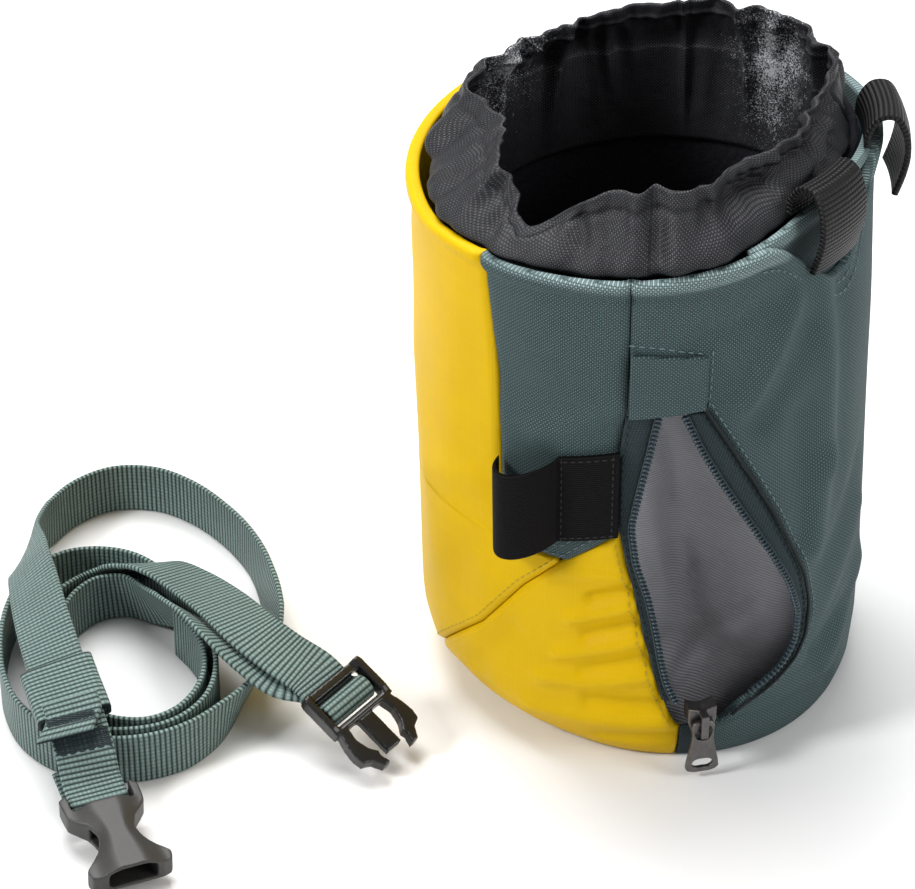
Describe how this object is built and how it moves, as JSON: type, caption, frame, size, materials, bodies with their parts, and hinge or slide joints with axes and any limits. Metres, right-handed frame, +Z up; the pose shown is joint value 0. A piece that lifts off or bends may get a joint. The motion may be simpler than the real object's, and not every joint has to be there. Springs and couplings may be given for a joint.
{
  "type": "climbing chalk bag",
  "caption": "Round soft chalk bag with a gathered collar, fleece cup, open zip pocket, brush loop and belt loops, beside its own coiled waist belt with an open side release buckle",
  "frame": {"origin": "centre of the bag's round base, on the floor it stands on", "axes": "+Z up along the bag's height, -Y toward the zip pocket's side, +X to the viewer's right of it; the belt lies on the -X side"},
  "size_m": [0.2301, 0.1721, 0.1682],
  "materials": {
    "yellow_nylon": "thin coated nylon with a faint grid weave",
    "teal_fabric": "brushed plain weave",
    "grey_twill": "twill",
    "black_fleece": "short pile fleece",
    "dark_nylon": "thin plain weave with a sheen",
    "zip_tape": "woven tape",
    "zip_coil": "fine coil",
    "gunmetal": "dark plated",
    "black_webbing": "ribbed elastic webbing",
    "teal_webbing": "ribbed webbing",
    "grey_plastic": "matte moulded",
    "dark_plastic": "satin moulded"
  },
  "bodies": {
    "bag": {"front_panel": "yellow_nylon", "lower_panel": "yellow_nylon", "brush_panel": "teal_fabric", "side_panel": "teal_fabric", "rear_yoke": "teal_fabric", "base_disc": "teal_fabric", "pocket_lining": "grey_twill", "lining": "black_fleece", "collar": "dark_nylon", "zip_flap": "teal_fabric", "zip_tape_left": "zip_tape", "zip_tape_right": "zip_tape", "zip_coil_left": "zip_coil", "zip_coil_right": "zip_coil", "zip_end_tab": "zip_tape", "zip_slider": "gunmetal", "brush_loop": "black_webbing", "belt_loop_front": "black_webbing", "belt_loop_rear": "black_webbing", "belt_webbing": "teal_webbing", "belt_keeper": "teal_webbing", "buckle_female": "grey_plastic", "buckle_male": "dark_plastic"},
    "pull": {"zip_pull": "gunmetal"}
  },
  "joints": [
    {"name": "zip_pull_hinge", "type": "hinge", "parent": "bag", "child": "pull", "pos_m": [0.01733, -0.05852, 0.0172], "axis": [-0.9588, -0.284, 0], "range_deg": [0, 150]}
  ]
}
